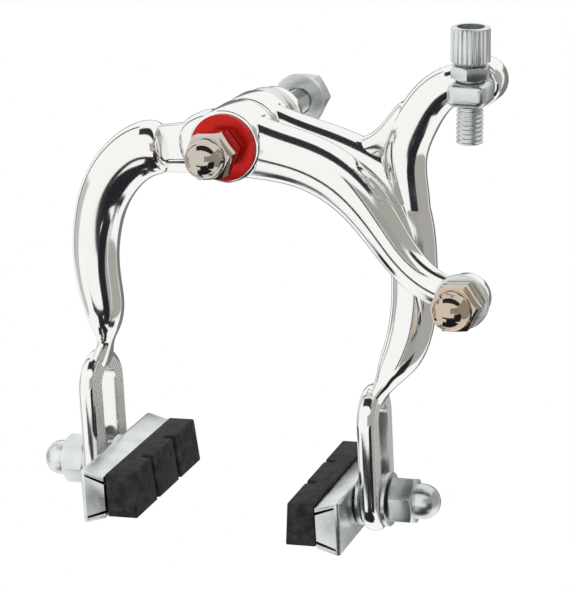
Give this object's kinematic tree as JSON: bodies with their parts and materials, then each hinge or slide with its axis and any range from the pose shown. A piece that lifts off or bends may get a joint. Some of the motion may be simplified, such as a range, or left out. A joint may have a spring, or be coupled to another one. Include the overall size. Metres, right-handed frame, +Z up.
{
  "type": "rim brake caliper",
  "caption": "Side-pull rim brake caliper with two crossed polished arms on one pivot bolt, a threaded cable adjuster, a cable anchor and slotted feet with sliding brake shoes.",
  "frame": {"origin": "on the pivot bolt axis, inside the boss of the front arm", "axes": "+Y runs back along the pivot bolt towards the bicycle fork, +X to the right seen from the front, +Z up"},
  "size_m": [0.1107, 0.0784, 0.1207],
  "materials": {
    "zinc_steel": "zinc plated, slightly bluish",
    "bright_steel": "bright plated",
    "spring_steel": "drawn wire",
    "dark_nickel": "dark mirror plating",
    "polished_alloy": "mirror polished",
    "red_anodised": "red anodised, satin",
    "brass": "plain",
    "pad_rubber": "matt, dusty"
  },
  "bodies": {
    "pivot_stack": {"pivot_bolt": "zinc_steel", "pivot_cap_nut": "dark_nickel", "pivot_jam_nut": "bright_steel", "face_washer": "red_anodised", "arm_spacer": "brass", "spring_block": "bright_steel", "return_spring": "spring_steel", "fork_seat_washer": "polished_alloy", "fork_washer": "zinc_steel", "fork_nut": "zinc_steel"},
    "front_arm": {"front_arm": "polished_alloy"},
    "rear_arm": {"rear_arm": "polished_alloy"},
    "cable_anchor": {"anchor_bolt": "zinc_steel", "anchor_washer": "zinc_steel", "anchor_cap_nut": "dark_nickel"},
    "adjuster_stop": {"adjuster_stop": "zinc_steel", "stop_retainer_washer": "zinc_steel", "stop_retainer_nut": "zinc_steel"},
    "adjuster_lock_nut": {"barrel_lock_nut": "zinc_steel"},
    "adjuster_barrel": {"barrel_adjuster": "zinc_steel"},
    "left_stud_fittings": {"pad_cap_nut_left": "zinc_steel", "pad_washer_left": "zinc_steel", "pad_dish_washer_left": "zinc_steel"},
    "left_shoe": {"pad_holder_left": "zinc_steel", "pad_rubber_left": "pad_rubber"},
    "right_stud_fittings": {"pad_cap_nut_right": "zinc_steel", "pad_washer_right": "zinc_steel", "pad_dish_washer_right": "zinc_steel"},
    "right_shoe": {"pad_holder_right": "zinc_steel", "pad_rubber_right": "pad_rubber"}
  },
  "joints": [
    {"name": "front_arm_pivot", "type": "hinge", "parent": "pivot_stack", "child": "front_arm", "pos_m": [0, 0, 0], "axis": [0, -1, 0], "range_deg": [-3, 11], "stiffness_Nm_per_rad": 3},
    {"name": "rear_arm_pivot", "type": "hinge", "parent": "pivot_stack", "child": "rear_arm", "pos_m": [0, 0, 0], "axis": [0, 1, 0], "range_deg": [-3, 11], "stiffness_Nm_per_rad": 3},
    {"name": "cable_anchor_turn", "type": "hinge", "parent": "front_arm", "child": "cable_anchor", "pos_m": [0.0562, 0, -0.031], "axis": [0, 1, 0], "continuous": true},
    {"name": "adjuster_swivel", "type": "hinge", "parent": "rear_arm", "child": "adjuster_stop", "pos_m": [0.0553, 0.005, 0.0148], "axis": [0, 1, 0], "range_deg": [-90, 90]},
    {"name": "barrel_rise", "type": "slide", "parent": "adjuster_stop", "child": "adjuster_lock_nut", "axis": [0, 0, 1], "range_m": [-0.0005, 0.008]},
    {"name": "barrel_turn", "type": "hinge", "parent": "adjuster_lock_nut", "child": "adjuster_barrel", "pos_m": [0.0553, 0.005, 0.0148], "axis": [0, 0, 1], "range_deg": [-180, 2880]},
    {"name": "left_shoe_height", "type": "slide", "parent": "front_arm", "child": "left_stud_fittings", "axis": [-0.0523, 0, 0.9986], "range_m": [-0.0007, 0.0155]},
    {"name": "left_shoe_tilt", "type": "hinge", "parent": "left_stud_fittings", "child": "left_shoe", "pos_m": [-0.0329, 0.002, -0.0802], "axis": [0.9985, 0.0175, 0.0523], "range_deg": [-20, 20]},
    {"name": "right_shoe_height", "type": "slide", "parent": "rear_arm", "child": "right_stud_fittings", "axis": [-0.0436, 0, 0.999], "range_m": [-0.0007, 0.0155]},
    {"name": "right_shoe_tilt", "type": "hinge", "parent": "right_stud_fittings", "child": "right_shoe", "pos_m": [0.035, 0.002, -0.0816], "axis": [0.9988, 0.0209, 0.0436], "range_deg": [-20, 20]}
  ],
  "couplings": [
    {"joint": "rear_arm_pivot", "follows": "front_arm_pivot", "ratio": 1},
    {"joint": "barrel_turn", "follows": "barrel_rise", "rad_per_m": 6283.2}
  ]
}
